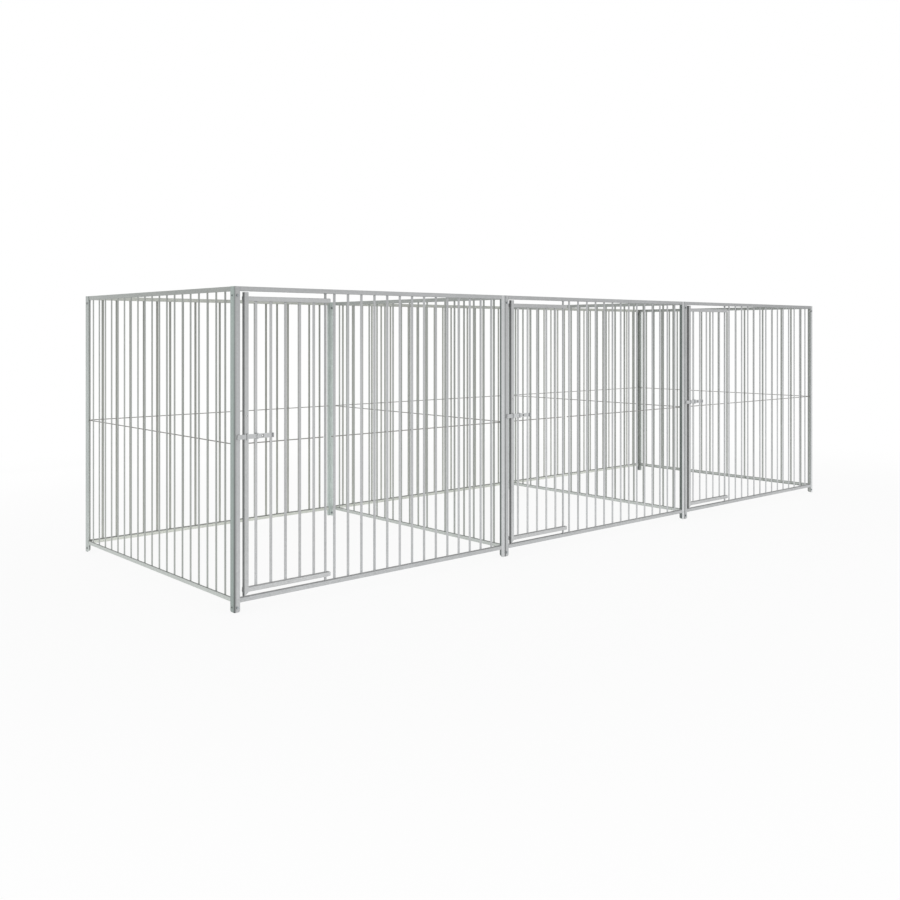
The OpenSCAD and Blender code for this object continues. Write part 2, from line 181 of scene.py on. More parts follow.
class KennelWelds(bpy.types.PropertyGroup):
    """Sizes of the weld beads, and the numbers of bars that they follow."""

    bar_bead: length("Bar bead", "Radius of the bead round the foot of a flat bar", 0.0017)
    rail_bead: length("Rail bead", "Radius of the bead round the end of a rail", 0.0013)
    hinge_bead: length("Hinge bead", "Radius of the bead round the ends of a hinge bar", 0.0024)
    strap_bead: length("Latch bead", "Radius of the bead round the feet of guides and keepers", 0.0014)
    rod_lump: length("Rod lump", "Half length of the weld where a rod crosses a bar", 0.0055)
    front_bars: number("Front bars", "Flat bars in a front panel", 14)
    plain_bars: number("Plain bars", "Flat bars in a rear or side panel", 19)
    door_bars: number("Door bars", "Flat bars in a door", 5)


class KennelStudio(bpy.types.PropertyGroup):
    """Light, floor and camera."""

    sky: share("Sky", "Strength of the even light from all round", 0.80)
    key: FloatProperty(name="Key light", description="Power of the long light in front of the doors",
                       default=30.0, min=0.0, unit="POWER")
    fill: FloatProperty(name="Fill light", description="Power of the long light behind the run",
                        default=30.0, min=0.0, unit="POWER")
    floor: tone("Floor", "Colour of the plain floor", (0.92, 0.92, 0.92))
    floor_white: share("Floor white", "How much of the floor under the run shows as plain white", 0.88)
    floor_fade: length("Floor fade", "Distance from the middle at which the floor is wholly white", 7.0)
    eye: FloatVectorProperty(name="Camera place", description="Where the camera stands", size=3,
                             subtype="TRANSLATION", unit="LENGTH", default=(-5.642, -5.671, 1.476))
    turn: FloatProperty(name="Camera turn", description="Turn of the level camera from the row's depth",
                        subtype="ANGLE", unit="ROTATION", default=math.radians(-41.64))
    lens: FloatProperty(name="Lens", description="Focal length", default=39.956, unit="CAMERA")
    drop: FloatProperty(name="Shift", description="Vertical shift of the lens", default=-0.1306)


class Value:
    """A shader socket that takes part in plain arithmetic: every operator adds one Math node."""

    def __init__(self, graph, socket):
        self.graph = graph
        self.socket = socket

    def math(self, operation, first, second):
        return self.graph.node("ShaderNodeMath", {"operation": operation}, {0: first, 1: second})

    def __add__(self, other):
        return self.math("ADD", self, other)

    def __sub__(self, other):
        return self.math("SUBTRACT", self, other)

    def __rsub__(self, other):
        return self.math("SUBTRACT", other, self)

    def __mul__(self, other):
        return self.math("MULTIPLY", self, other)

    __radd__ = __add__
    __rmul__ = __mul__

    def above(self, floor):
        """This value where it lies above the floor, and the floor elsewhere."""
        return self.math("MAXIMUM", self, floor)

    def over(self, limit):
        """1 where this value lies above the limit, and 0 elsewhere."""
        return self.math("GREATER_THAN", self, limit)

    def under(self, limit):
        """1 where this value lies below the limit, and 0 elsewhere."""
        return self.math("LESS_THAN", self, limit)


class Graph:
    """The node tree of one material or of the world, emptied and filled by code."""

    def __init__(self, owner):
        owner.use_nodes = True
        self.tree = owner.node_tree
        self.tree.nodes.clear()

    def node(self, kind, settings=None, sockets=None, out=0):
        """Adds a node: its settings come first, then the values or links of its sockets."""
        made = self.tree.nodes.new(kind)
        for key, value in (settings or {}).items():
            setattr(made, key, value)
        for key, value in (sockets or {}).items():
            socket = self.find(made.inputs, key)
            if isinstance(value, Value):
                self.tree.links.new(value.socket, socket)
            else:
                socket.default_value = value
        return Value(self, self.find(made.outputs, out))

    @staticmethod
    def find(sockets, key):
        """A socket by its number, its identifier or its name."""
        if isinstance(key, int):
            return sockets[key]
        for socket in sockets:
            if socket.identifier == key:
                return socket
        return sockets[key]

    def output(self, kind, surface):
        """Links a finished shader to the tree's output."""
        made = self.tree.nodes.new(kind)
        self.tree.links.new(surface.socket, made.inputs["Surface"])

    def split(self, vector):
        """The three parts of a vector."""
        parts = self.tree.nodes.new("ShaderNodeSeparateXYZ")
        self.tree.links.new(vector.socket, parts.inputs[0])
        return [Value(self, part) for part in parts.outputs]

    def scaled(self, vector, scale):
        """A vector times three numbers."""
        return self.node("ShaderNodeVectorMath", {"operation": "MULTIPLY"}, {0: vector, 1: scale})

    def noise(self, vector, scale, detail=2.0, rough=0.5):
        """Soft noise from 0 to 1."""
        return self.node("ShaderNodeTexNoise", {}, {"Vector": vector, "Scale": scale, "Detail": detail,
                                                    "Roughness": rough}, out="Fac")

    def grained(self, vector, grain, along, across, detail, rough=0.5):
        """Soft noise with one scale along the grain, an axis of the row, and another across it."""
        scale = tuple(along if axis == grain else across for axis in range(3))
        return self.noise(self.scaled(vector, scale), 1.0, detail, rough)

    def shown(self):
        """1 for what the camera sees, straight, in a gloss or through glass, and 0 for all other light."""
        kinds = [self.node("ShaderNodeLightPath", out=f"Is {kind} Ray")
                 for kind in ("Camera", "Glossy", "Transmission")]
        return kinds[0].above(kinds[1]).above(kinds[2])

    def tinted(self, colour, brightness):
        """A plain colour times a brightness that varies over the surface."""
        grey = self.node("ShaderNodeCombineColor", {}, {0: brightness, 1: brightness, 2: brightness})
        return self.node("ShaderNodeMix", {"data_type": "RGBA", "blend_type": "MULTIPLY"}, {
            "Factor_Float": 1.0, "A_Color": grey, "B_Color": (*colour, 1.0)}, out="Result_Color")


def face_share(direction, facing, along, height):
    """How far a face points in a direction, from 0 to 1, for the painted light and shade that a face takes by
    its direction. -X counts only inside the run, and +Z only low down, on the tops of the low rails, which
    take a painted shade."""
    axis, sign = FACES[direction]
    toward = (facing[axis] * sign).above(0.0)
    if direction == "-X":
        toward = toward * along.over(CAD_BOX[0][0] + MARGIN)
    if direction == "+Z":
        toward = toward * height.under(MID_HEIGHT)
    return toward


def heel_shade(heel, facing, along, inward, height):
    """A line of painted shade along the heel of an upright, the low corner of its box. It falls from the heel
    to 0 over a short way on the front face and on the flank, and it grows weaker with height."""
    turned = facing[0] * facing[0]
    front = (1.0 - (along - heel[0]) * (1.0 / HEEL_WIDE)).above(0.0) * (1.0 - turned)
    flank = (1.0 - (inward - heel[1]) * (1.0 / HEEL_DEEP)).above(0.0) * turned
    flank = flank * along.under(heel[0] + MARGIN)
    return (front + flank) * (HEEL_AT_FOOT - height * HEEL_LOSS)


def hole_ring(graph, place, middle, axis, radius):
    """1 within a radius of a hole that is bored along an axis, and 0 elsewhere."""
    plane = np.where(np.arange(3) == axis, 0.0, 1.0)
    away = graph.node("ShaderNodeVectorMath", {"operation": "DISTANCE"},
                      {0: graph.scaled(place, plane), 1: middle * plane}, out="Value")
    return away.under(radius)


def zinc_coat(name, colour, grain, coat, spangle=1.0, patches=1.0, streaks=1.0, rough=0.0, fade=1.0,
              faces=None, flank=None, flank_fade=1.0, paler_after=None, heel=None, holes=(), shade=None):
    """Hot-dip zinc. Brightness = 1 + crystals + patches + streaks + bar-to-bar change - fade with height,
    times the share that faces gives for each direction. The fade with height is a painted shade that darkens
    the top, and the shares by direction are painted light and shade. The crystals are cells that differ in
    tone and in gloss, and the streaks run along the grain, an axis of the row. Faces that point along X take
    the flank colour, if there is one, and it darkens towards the foot; both are a painted shade. The coat is
    paler to the right of paler_after, and darker along the heel of an upright and in a line just below a
    given height, both a painted shade. Round the holes, given by their middle, the axis they are bored along
    and a radius, it is dark with grime and a painted shade."""
    material = bpy.data.materials.new(name)
    graph = Graph(material)
    place = graph.node("ShaderNodeTexCoord", out="Object")
    along, inward, height = graph.split(place)
    facing = graph.split(graph.node("ShaderNodeTexCoord", out="Normal"))

    wobble = graph.node("ShaderNodeTexNoise", {}, {"Vector": place, "Scale": WOBBLE_SCALE, "Detail": 1.0},
                        out="Color")
    bent = graph.node("ShaderNodeVectorMath", {"operation": "MULTIPLY_ADD"},
                      {0: wobble, 1: (coat.spangle * WOBBLE_SHARE,) * 3, 2: place})
    cells = graph.node("ShaderNodeTexVoronoi", {}, {"Vector": bent, "Scale": 1.0 / coat.spangle}, out="Color")
    crystal = graph.split(cells)[0]
    cloud = graph.noise(place, CLOUD_SCALE, detail=4.0, rough=0.6)
    fine = graph.noise(place, FINE_SCALE, detail=2.0, rough=0.6)
    streak = graph.grained(place, grain, STREAK_ALONG, STREAK_ACROSS, detail=3.0, rough=0.55)
    piece = graph.grained(place, grain, PIECE_ALONG, PIECE_ACROSS, detail=0.0)

    # The last term is a painted shade that darkens the coat towards the top.
    bright = (1.0 + (crystal - 0.5) * (coat.spangle_share * spangle)
              + (cloud - 0.5) * (coat.patch_share * 2.0 * patches)
              + (streak - 0.5) * (coat.streak_share * 2.0 * streaks)
              + (piece - 0.5) * coat.piece_share
              - (height - MID_HEIGHT) * (coat.fade * fade / (2.0 * MID_HEIGHT)))
    if paler_after is not None:
        bright = bright + along.over(paler_after) * coat.pale_share
    # Painted light and shade: each direction in faces makes the faces that point that way lighter or darker.
    for direction, factor in (faces or {}).items():
        bright = bright * (1.0 + face_share(direction, facing, along, height) * (factor - 1.0))
    # A painted shade along the heel of the upright.
    if heel is not None:
        bright = bright * (1.0 - heel_shade(heel, facing, along, inward, height) * coat.heel_shade_share)
    # A line of painted shade just below the top of the low rails.
    if shade is not None:
        line = height.over(shade - SHADE_LINE_WIDE) * height.under(shade + MARGIN)
        bright = bright * (1.0 - line * coat.shade_line_share)
    # Grime and painted shade round the small holes.
    for hole in holes:
        bright = bright * (1.0 - hole_ring(graph, place, *hole) * coat.hole_grime_shade)

    paint = graph.tinted(colour, bright)
    # Painted shade: faces that point along X take the flank colour, darker towards the foot.
    if flank is not None:
        low_down = 1.0 + (height - MID_HEIGHT) * (coat.flank_fade * flank_fade)
        paint = graph.node("ShaderNodeMix", {"data_type": "RGBA"}, {
            "Factor_Float": facing[0] * facing[0], "A_Color": paint,
            "B_Color": graph.tinted(flank, bright * low_down)}, out="Result_Color")
    gloss = (coat.rough + rough + (crystal - 0.5) * (CRYSTAL_GLOSS * spangle)
             + (cloud - 0.5) * CLOUD_GLOSS + (fine - 0.5) * FINE_GLOSS)
    relief = crystal * CRYSTAL_RELIEF + fine * FINE_RELIEF + streak * STREAK_RELIEF
    bump = graph.node("ShaderNodeBump", {}, {
        "Strength": BUMP_STRENGTH, "Distance": BUMP_HEIGHT, "Height": relief}, out="Normal")
    surface = graph.node("ShaderNodeBsdfPrincipled", {}, {
        "Base Color": paint, "Metallic": coat.metal, "Roughness": gloss, "Normal": bump})
    graph.output("ShaderNodeOutputMaterial", surface)
    return material


def node_box(node):
    """Lowest and highest corner of a node, as arrays."""
    low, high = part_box(node)
    return np.array(low), np.array(high)


def joint_holes(outside, inward, grime_and_shade):
    """The two bolt holes in the return leg of an upright, from the Y of its panel's outside."""
    return [(np.array([0.0, outside + inward * JOINT_HOLE_IN, height]), 0, grime_and_shade)
            for height in JOINT_HOLE_HEIGHTS]


def latch_height(bay):
    """Height of the middle of a slide bolt."""
    low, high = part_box(f"slide_bolt_{bay}")
    return (low[2] + high[2]) / 2


def dress(names, material):
    """Gives CAD nodes one material in every slot."""
    for name in names:
        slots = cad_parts[name].data.materials
        if len(slots) == 0:
            slots.append(material)
        for place in range(len(slots)):
            slots[place] = material


def piece_mesh(name, points, faces, material, body, slot):
    """Puts an array of points, kept within the run's box, and lists of corner numbers into a smooth mesh that
    rides on a body."""
    points = np.clip(points, CAD_BOX[0], CAD_BOX[1])
    mesh = bpy.data.meshes.new(name)
    mesh.from_pydata(points.tolist(), [], faces)
    mesh.polygons.foreach_set("use_smooth", np.ones(len(mesh.polygons), dtype=bool))
    mesh.materials.append(material)
    mesh.validate()
    piece = bpy.data.objects.new(name, mesh)
    bpy.context.scene.collection.objects.link(piece)
    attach(piece, body)
    return piece


def wrapped_quads(count, turns, section):
    """Corner numbers of count grids of turns by section points, closed both ways."""
    i, j = np.meshgrid(np.arange(turns), np.arange(section), indexing="ij")
    k, m = (i + 1) % turns, (j + 1) % section
    one = np.stack([i * section + j, k * section + j, k * section + m, i * section + m], axis=-1)
    return (one.reshape(-1, 4)[None] + (np.arange(count) * turns * section)[:, None, None]).reshape(-1, 4)


def ring_beads(centres, along_u, along_v, half_u, half_v, bead, power=4.0, turns=12, section=5):
    """Weld beads that run round the foot of a piece, as points and a list of one array of quads. With angle a
    round the foot and b round the bead, the path is a superellipse, half times the signed 2/power root of
    cos a and sin a, and the bead stands off it by r cos b outwards and r sin b along the foot, where r swells
    and thins in ripples along the path."""
    a = np.linspace(0.0, 2.0 * np.pi, turns, endpoint=False)[None, :, None]
    b = np.linspace(0.0, 2.0 * np.pi, section, endpoint=False)[None, None, :]
    start = (np.arange(len(centres)) * RIPPLE_STEP)[:, None, None]
    r = bead * (1.0 + WIDE_RIPPLE * np.sin(3.0 * a + start) + SHORT_RIPPLE * np.sin(5.0 * a - start))
    root = 2.0 / power
    path_u = half_u * np.sign(np.cos(a)) * np.abs(np.cos(a)) ** root
    path_v = half_v * np.sign(np.sin(a)) * np.abs(np.sin(a)) ** root
    u = path_u + np.cos(a) * r * np.cos(b)
    v = path_v + np.sin(a) * r * np.cos(b)
    w = r * np.sin(b)
    along_w = np.cross(along_u, along_v)
    points = (np.asarray(centres)[:, None, None, :] + u[..., None] * along_u + v[..., None] * along_v
              + w[..., None] * along_w)
    return points.reshape(-1, 3), [wrapped_quads(len(centres), turns, section)]


def lumps(centres, along, half_long, half_wide, turns=8, rows=3):
    """Small welds shaped as drops stretched along a level axis, as points and a list of an array of quads and
    one of triangles. With longitude a and latitude b, the point lies at half_wide cos b round the long axis,
    swollen a little at two sides, and half_long sin b along it; the two poles are single points."""
    side = np.cross(along, Z_AXIS)
    third = np.cross(along, side)
    a = np.linspace(0.0, 2.0 * np.pi, turns, endpoint=False)[None, :]
    b = np.linspace(-0.5 * np.pi, 0.5 * np.pi, rows + 2)[1:-1][:, None]
    wide = half_wide * np.cos(b) * (1.0 + LUMP_SWELL * np.cos(2.0 * a))
    ring = (wide[..., None] * (np.cos(a)[..., None] * side + np.sin(a)[..., None] * third)
            + (half_long * np.sin(b) * np.ones_like(a))[..., None] * along).reshape(-1, 3)
    one = np.vstack([-half_long * along, ring, half_long * along])
    points = np.asarray(centres)[:, None, :] + one[None]
    j, i = np.meshgrid(np.arange(rows - 1), np.arange(turns), indexing="ij")
    k = (i + 1) % turns
    quads = np.stack([1 + j * turns + i, 1 + j * turns + k, 1 + (j + 1) * turns + k, 1 + (j + 1) * turns + i],
                     axis=-1).reshape(-1, 4)
    n = np.arange(turns)
    top = 1 + rows * turns
    low = np.stack([np.zeros(turns, int), 1 + (n + 1) % turns, 1 + n], axis=-1)
    high = np.stack([np.full(turns, top), top - turns + n, top - turns + (n + 1) % turns], axis=-1)
    shift = (np.arange(len(centres)) * (top + 1))[:, None, None]
    return points.reshape(-1, 3), [(quads[None] + shift).reshape(-1, 4),
                                   (np.vstack([low, high])[None] + shift).reshape(-1, 3)]


def gather(parts):
    """Joins pairs of points and face arrays into one array of points and one list of faces."""
    faces, count = [], 0
    for points, arrays in parts:
        for corners in arrays:
            faces += (corners + count).tolist()
        count += len(points)
    return np.vstack([points for points, _ in parts]), faces


def bar_row(node, count, axis):
    """Middles of a row of equal bars, from the box of their node and their number along an axis, and the
    heights of their feet and tops."""
    low, high = node_box(node)
    middle = np.tile((low + high) / 2, (count, 1))
    middle[:, axis] = np.linspace(low[axis] + BAR_WIDTH / 2, high[axis] - BAR_WIDTH / 2, count)
    return middle, low[2], high[2]


def bar_foot_welds(node, count, axis, bead):
    """Beads round the feet and the tops of a row of flat bars."""
    middle, low, high = bar_row(node, count, axis)
    feet, tops = middle.copy(), middle.copy()
    feet[:, 2], tops[:, 2] = low, high
    return ring_beads(np.vstack([feet, tops]), ROW_AXES[axis], ROW_AXES[1 - axis],
                      BAR_WIDTH / 2, BAR_THICK / 2, bead)


def rod_welds(node, count, axis, inward, long):
    """Lumps above and below the rod where it crosses each bar of a row."""
    spot = bar_row(node, count, axis)[0] + inward * ROW_AXES[1 - axis] * (BAR_THICK / 2 + LUMP_OUT)
    spot[:, 2] = ROD_HEIGHT
    lift = Z_AXIS * (ROD_WIDE / 2 - LUMP_SINK)
    return lumps(np.vstack([spot + lift, spot - lift]), ROW_AXES[axis], long, LUMP_WIDE)


def tube_rings(centres, half, bead):
    """Beads round the ends of square tubes that lie along the row."""
    return ring_beads(centres, Y_AXIS, Z_AXIS, half, half, bead, power=TUBE_POWER, turns=TUBE_TURNS)


def tube_end_welds(node, bead):
    """Beads round both ends of the two square tubes of a front or rear panel."""
    low, high = node_box(node)
    half = (high[1] - low[1]) / 2
    middle = (low[1] + high[1]) / 2
    centres = [[x, middle, z] for x in (low[0], high[0]) for z in (low[2] + half, high[2] - half)]
    return tube_rings(centres, half, bead)


def angle_end_welds(node, inward, bead):
    """Beads round the upright and the flat leg of a side panel's angle rails, at both ends."""
    low, high = node_box(node)
    outer = low[0] if inward > 0 else high[0]
    thick, tall, deep = ANGLE_THICK, ANGLE_HEIGHT, high[0] - low[0]
    stand = outer + inward * thick / 2
    lie = outer + inward * (thick + deep) / 2
    ends = (low[1], high[1])
    stood = [[stand, y, z] for y in ends for z in (low[2] + tall / 2, high[2] - tall / 2)]
    lying = [[lie, y, z] for y in ends for z in (low[2] + thick / 2, high[2] - thick / 2)]
    return [ring_beads(stood, Z_AXIS, X_AXIS, tall / 2, thick / 2, bead, turns=20),
            ring_beads(lying, Z_AXIS, X_AXIS, thick / 2, (deep - thick) / 2, bead, turns=16)]


class KENNEL_OT_front_panels(bpy.types.Operator):
    """Coats the front panels, their hinge bars and the tie rods with zinc"""
    bl_idname = "kennel.front_panels"
    bl_label = "Front panels"

    def execute(self, context):
        coat = context.scene.kennel_zinc
        # Painted shade on the tops of the low front rails and, a little, on their front faces.
        rail = zinc_coat("front_rail_zinc", coat.front, 0, coat, faces={"+Z": SHADED, "-Y": 0.95})
        bar = zinc_coat("front_bar_zinc", coat.front, 2, coat, patches=BAR_PATCHES)
        rod = zinc_coat("tie_rod_zinc", coat.rod, 0, coat, spangle=ROD_SPANGLE)
        for bay in BAYS:
            low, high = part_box(f"front_{bay}_uprights")
            # Painted shade on faces that point along -X inside the run, on the flanks towards the foot and
            # along the heel; grime and painted shade round the joint holes.
            post = zinc_coat(f"front_{bay}_upright_zinc", coat.front, 2, coat, faces={"-X": SHADED},
                             flank=coat.flank, paler_after=(low[0] + high[0]) / 2, heel=low,
                             holes=joint_holes(low[1], 1.0, JOINT_GRIME_SHADE_RADIUS))
            dress([f"front_{bay}_uprights"], post)
            dress([f"front_{bay}_rails"], rail)
            dress([f"front_{bay}_bars", f"front_{bay}_hinge_bar"], bar)
        dress(["hinge_collars"], bar)
        dress(["tie_rods"], rod)
        return {"FINISHED"}


class KENNEL_OT_rear_panels(bpy.types.Operator):
    """Coats the rear panels with a duller zinc, and the bars of the first bay with a darker copy, a painted
    shade
    """
    bl_idname = "kennel.rear_panels"
    bl_label = "Rear panels"

    def execute(self, context):
        coat = context.scene.kennel_zinc
        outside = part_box("rear_1_uprights")[1][1]
        # Painted light on faces that point along -X and -Y, painted shade on the flanks towards the foot, and
        # grime and painted shade round the joint holes.
        post = zinc_coat("rear_upright_zinc", coat.corner, 2, coat, faces={"-X": 1.55, "-Y": 1.25},
                         flank=coat.corner, flank_fade=0.35,
                         holes=joint_holes(outside, -1.0, REAR_GRIME_SHADE_RADIUS))
        # Painted light on faces that point along -Y; painted shade on the tops of the low rails, in a line
        # just below them and, more strongly, towards the top.
        rail = zinc_coat("rear_rail_zinc", coat.rear, 0, coat, fade=1.3, faces={"+Z": 0.55, "-Y": 1.42},
                         shade=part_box("rear_1_rails")[0][2] + TUBE_SIDE)
        bar = zinc_coat("rear_bar_zinc", coat.rear, 2, coat, patches=BAR_PATCHES)
        # A painted shade: the bars of the first bay take a darker copy of the rear bar zinc, darker still on
        # faces that point along -Y and towards the top.
        shadowed = zinc_coat("rear_1_bar_zinc", coat.rear, 2, coat, patches=BAR_PATCHES, fade=1.6,
                         faces={"-Y": 0.86})
        for bay in BAYS:
            dress([f"rear_{bay}_uprights"], post)
            dress([f"rear_{bay}_rails"], rail)
            dress([f"rear_{bay}_bars"], shadowed if bay == BAYS[0] else bar)
        return {"FINISHED"}


class KENNEL_OT_side_panels(bpy.types.Operator):
    """Coats the two ends and the two partitions"""
    bl_idname = "kennel.side_panels"
    bl_label = "Ends and partitions"

    def execute(self, context):
        coat = context.scene.kennel_zinc
        post = zinc_coat("side_upright_zinc", coat.side, 2, coat)
        # Painted shade on the tops of the low rails, in a line just below them and, more strongly, towards
        # the top.
        rail = zinc_coat("side_rail_zinc", coat.side_rail, 1, coat, fade=1.6, faces={"+Z": 0.50},
                         shade=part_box("left_end_rails")[0][2] + ANGLE_HEIGHT)
        bar = zinc_coat("side_bar_zinc", coat.side, 2, coat, patches=BAR_PATCHES)
        for side in SIDES:
            dress([f"{side}_uprights"], post)
            dress([f"{side}_rails"], rail)
            dress([f"{side}_bars"], bar)
        return {"FINISHED"}


class KENNEL_OT_doors(bpy.types.Operator):
    """Coats the doors with a brighter zinc"""
    bl_idname = "kennel.doors"
    bl_label = "Doors"

    def execute(self, context):
        coat = context.scene.kennel_zinc
        # Painted shade on the tops of the low door rails.
        rail = zinc_coat("door_rail_zinc", coat.door, 0, coat, faces={"+Z": SHADED})
        bar = zinc_coat("door_bar_zinc", coat.door, 2, coat, patches=BAR_PATCHES)
        rod = zinc_coat("door_rod_zinc", coat.rod, 0, coat, spangle=ROD_SPANGLE)
        for bay in BAYS:
            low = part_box(f"door_{bay}_stile")[0]
            middle = np.array([low[0] + STILE_FLANGE / 2, 0.0, latch_height(bay) + STILE_HOLE_RISE])
            # Painted shade on faces that point along -X inside the run, and grime and painted shade round the
            # hole.
            stile = zinc_coat(f"door_{bay}_stile_zinc", coat.door, 2, coat, faces={"-X": SHADED},
                              holes=[(middle, 1, STILE_GRIME_SHADE_RADIUS)])
            dress([f"door_{bay}_stile"], stile)
            dress([f"door_{bay}_top_rail", f"door_{bay}_bottom_rail"], rail)
            dress([f"door_{bay}_tie_rod"], rod)
            dress([f"door_{bay}_bars"], bar)
        return {"FINISHED"}


class KENNEL_OT_latches(bpy.types.Operator):
    """Coats the slide bolts, their guides and the keepers"""
    bl_idname = "kennel.latches"
    bl_label = "Latches"

    def execute(self, context):
        coat = context.scene.kennel_zinc
        strap = zinc_coat("latch_strap_zinc", coat.latch, 2, coat, spangle=0.8)
        for bay in BAYS:
            middle = np.array([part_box(f"slide_bolt_{bay}")[1][0] - LOCK_HOLE_IN, 0.0, latch_height(bay)])
            # Painted shade on the flanks towards the foot, and grime and painted shade round the lock hole.
            slider = zinc_coat(f"slide_bolt_{bay}_zinc", coat.latch, 0, coat, spangle=0.6, streaks=2.2,
                               rough=-0.10, flank=coat.latch, holes=[(middle, 1, LOCK_GRIME_SHADE_RADIUS)])
            dress([f"slide_bolt_{bay}"], slider)
            dress([f"door_{bay}_latch_guides"], strap)
        dress(["latch_keepers"], strap)
        return {"FINISHED"}


class KENNEL_OT_fasteners(bpy.types.Operator):
    """Gives the bolts a bright zinc plate and the nuts a darker one, a painted shade"""
    bl_idname = "kennel.fasteners"
    bl_label = "Bolts and nuts"

    def execute(self, context):
        coat = context.scene.kennel_zinc
        # Painted shade on faces that point along -X inside the run.
        plate = zinc_coat("bolt_zinc_plate", coat.fastener, 1, coat, spangle=PLATE_SPANGLE,
                          patches=PLATE_PATCHES, rough=-0.14, faces={"-X": 0.45})
        # A painted shade: the nuts take a darker tone than the bolts.
        shadowed = zinc_coat("nut_zinc_plate", coat.nut, 1, coat, spangle=PLATE_SPANGLE, patches=PLATE_PATCHES)
        dress(["panel_bolts"], plate)
        dress(["panel_nuts"], shadowed)
        return {"FINISHED"}


class KENNEL_OT_welds(bpy.types.Operator):
    """Lays the weld beads at the bars, rods, rails, hinge bars and latches"""
    bl_idname = "kennel.welds"
    bl_label = "Welds"

    def execute(self, context):
        coat, size = context.scene.kennel_zinc, context.scene.kennel_welds
        bead = zinc_coat("weld_zinc", coat.weld, 2, coat, spangle=0.4, rough=0.06)
        for bay in BAYS:
            front, rear = f"front_{bay}", f"rear_{bay}"
            front_ends = [tube_end_welds(f"{front}_rails", size.rail_bead), self.hinge_ends(bay, size)]
            rear_ends = [tube_end_welds(f"{rear}_rails", size.rail_bead)]
            self.panel(bead, size, front, size.front_bars, 0, 1, front_ends)
            self.panel(bead, size, rear, size.plain_bars, 0, -1, rear_ends)
            self.door(bead, size, bay)
        for side in SIDES:
            inward = -1 if side == "right_end" else 1
            side_ends = angle_end_welds(f"{side}_rails", inward, size.rail_bead)
            self.panel(bead, size, side, size.plain_bars, 1, inward, side_ends)
        self.keepers(bead, size)
        return {"FINISHED"}

    def panel(self, bead, size, panel, count, axis, inward, ends):
        parts = [bar_foot_welds(f"{panel}_bars", count, axis, size.bar_bead),
                 rod_welds(f"{panel}_bars", count, axis, inward, size.rod_lump), *ends]
        piece_mesh(f"{panel}_welds", *gather(parts), bead, "frame", "galvanised_frame")

    def hinge_ends(self, bay, size):
        low, high = node_box(f"front_{bay}_hinge_bar")
        middle = (low + high) / 2
        ends = [[middle[0], middle[1], low[2]], [middle[0], middle[1], high[2]]]
        radius = (high[0] - low[0]) / 2
        return ring_beads(ends, X_AXIS, Y_AXIS, radius, radius, size.hinge_bead,
                          power=2.0, turns=20, section=6)

    def door(self, bead, size, bay):
        ends = []
        for rail in ("top_rail", "bottom_rail"):
            low, high = node_box(f"door_{bay}_{rail}")
            middle = (low + high) / 2
            ends.append([low[0], middle[1], middle[2]])
        parts = [bar_foot_welds(f"door_{bay}_bars", size.door_bars, 0, size.bar_bead),
                 rod_welds(f"door_{bay}_bars", size.door_bars, 0, 1, size.rod_lump),
                 tube_rings(ends, (high[2] - low[2]) / 2, size.rail_bead),
                 self.guide_feet(bay, size)]
        piece_mesh(f"door_{bay}_welds", *gather(parts), bead, f"door_leaf_{bay}", "galvanised_door")

    def guide_feet(self, bay, size):
        low, high = node_box(f"door_{bay}_latch_guides")
        stile_face, bar_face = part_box(f"door_{bay}_stile")[0][1], high[1]
        feet = [[x, y, z]
                for x, y in ((low[0] + STRAP_WIDE / 2, stile_face), (high[0] - STRAP_WIDE / 2, bar_face))
                for z in (low[2] + STRAP_THICK / 2, high[2] - STRAP_THICK / 2)]
        return ring_beads(feet, Z_AXIS, X_AXIS, STRAP_THICK / 2, STRAP_WIDE / 2, size.strap_bead)

    def keepers(self, bead, size):
        low, high = node_box("latch_keepers")
        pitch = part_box("front_2_rails")[0][0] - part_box("front_1_rails")[0][0]
        feet = [[low[0] + STRAP_THICK / 2 + pitch * place, high[1], (low[2] + high[2]) / 2]
                for place in range(len(BAYS))]
        half = (high[2] - low[2]) / 2
        parts = [ring_beads(feet, Z_AXIS, X_AXIS, half, STRAP_THICK / 2, size.strap_bead, turns=20)]
        piece_mesh("latch_keeper_welds", *gather(parts), bead, "frame", "galvanised_latch")


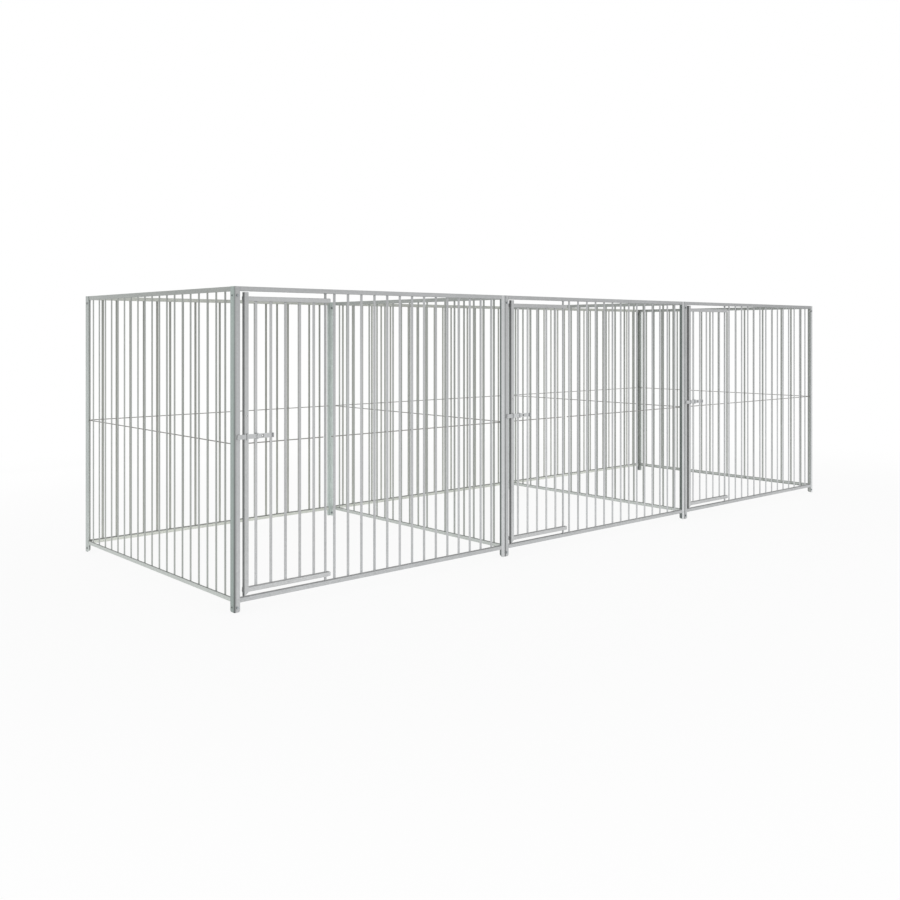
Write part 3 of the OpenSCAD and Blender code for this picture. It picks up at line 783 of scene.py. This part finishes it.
class KENNEL_OT_studio(bpy.types.Operator):
    """Sets up the floor, the light and the camera"""
    bl_idname = "kennel.studio"
    bl_label = "Studio"

    def execute(self, context):
        scene, studio = context.scene, context.scene.kennel_studio
        scene.view_settings.view_transform = "Standard"
        self.world(scene, studio)
        self.floor(scene, studio)
        self.long_light(scene, "door_side_light", studio.key, along=1.0, side=-1.0)
        self.long_light(scene, "rear_side_light", studio.fill, along=-1.0, side=1.0)
        self.camera(scene, studio)
        return {"FINISHED"}

    def world(self, scene, studio):
        scene.world = bpy.data.worlds.new("kennel_sky")
        graph = Graph(scene.world)
        light = graph.node("ShaderNodeBackground", {}, {"Color": WHITE, "Strength": studio.sky})
        white = graph.node("ShaderNodeBackground", {}, {"Color": WHITE, "Strength": 1.0})
        both = graph.node("ShaderNodeMixShader", {}, {0: graph.shown(), 1: light, 2: white})
        graph.output("ShaderNodeOutputWorld", both)

    def floor(self, scene, studio):
        along, inward = FLOOR_REACH * X_AXIS, FLOOR_REACH * Y_AXIS
        corners = np.array([-along - inward, along - inward, along + inward, inward - along])
        mesh = bpy.data.meshes.new("studio_floor")
        mesh.from_pydata(corners.tolist(), [], [[0, 1, 2, 3]])
        floor = bpy.data.objects.new("studio_floor", mesh)
        scene.collection.objects.link(floor)
        material = bpy.data.materials.new("studio_floor_white")
        graph = Graph(material)
        matt = graph.node("ShaderNodeBsdfDiffuse", {}, {"Color": (*studio.floor, 1.0)})
        white = graph.node("ShaderNodeEmission", {}, {"Color": WHITE, "Strength": 1.0})
        place = graph.node("ShaderNodeTexCoord", out="Object")
        away = graph.node("ShaderNodeVectorMath", {"operation": "LENGTH"}, {0: place}, out="Value")
        far = graph.node("ShaderNodeMapRange", {"interpolation_type": "SMOOTHSTEP"}, {
            "From Min": 0.5 * studio.floor_fade, "From Max": studio.floor_fade,
            "To Min": studio.floor_white, "To Max": 1.0, "Value": away})
        both = graph.node("ShaderNodeMixShader", {}, {0: graph.shown() * far, 1: matt, 2: white})
        graph.output("ShaderNodeOutputMaterial", both)
        mesh.materials.append(material)

    def long_light(self, scene, name, power, along, side):
        lamp = bpy.data.lights.new(name, "AREA")
        lamp.shape = "RECTANGLE"
        lamp.size, lamp.size_y = LIGHT_LONG, LIGHT_TALL
        lamp.energy = power
        light = bpy.data.objects.new(name, lamp)
        light.location = (along, side * LIGHT_AWAY, LIGHT_HEIGHT)
        light.rotation_euler = (-side * LIGHT_TILT, 0.0, 0.0)
        scene.collection.objects.link(light)

    def camera(self, scene, studio):
        lens = bpy.data.cameras.new("photo_camera")
        lens.lens, lens.sensor_width, lens.shift_y = studio.lens, SENSOR_WIDE, studio.drop
        lens.clip_end = VIEW_REACH
        camera = bpy.data.objects.new("photo_camera", lens)
        camera.location = studio.eye
        camera.rotation_euler = (math.radians(90.0), 0.0, studio.turn)
        scene.collection.objects.link(camera)
        scene.camera = camera


class KENNEL_PT_run(bpy.types.Panel):
    """Lists the steps that finish the kennel run"""
    bl_idname = "KENNEL_PT_run"
    bl_label = "Kennel run"
    bl_space_type = "VIEW_3D"
    bl_region_type = "UI"
    bl_category = "Kennel run"

    def draw(self, context):
        for step in STEPS:
            self.layout.operator(step.bl_idname)
        for group in GROUPS:
            box = self.layout.box()
            settings = getattr(context.scene, group)
            for name in settings.__annotations__:
                box.prop(settings, name)


GROUPS = {"kennel_zinc": KennelZinc, "kennel_welds": KennelWelds, "kennel_studio": KennelStudio}
STEPS = (KENNEL_OT_front_panels, KENNEL_OT_rear_panels, KENNEL_OT_side_panels, KENNEL_OT_doors,
         KENNEL_OT_latches, KENNEL_OT_fasteners, KENNEL_OT_welds, KENNEL_OT_studio)
CLASSES = (*GROUPS.values(), *STEPS, KENNEL_PT_run)


def register():
    for one in CLASSES:
        bpy.utils.register_class(one)
    for name, group in GROUPS.items():
        setattr(bpy.types.Scene, name, PointerProperty(type=group))


def unregister():
    for name in GROUPS:
        delattr(bpy.types.Scene, name)
    for one in reversed(CLASSES):
        bpy.utils.unregister_class(one)


def main():
    register()
    bpy.ops.kennel.front_panels()
    bpy.ops.kennel.rear_panels()
    bpy.ops.kennel.side_panels()
    bpy.ops.kennel.doors()
    bpy.ops.kennel.latches()
    bpy.ops.kennel.fasteners()
    bpy.ops.kennel.welds()
    bpy.ops.kennel.studio()


if __name__ == "__main__":
    main()
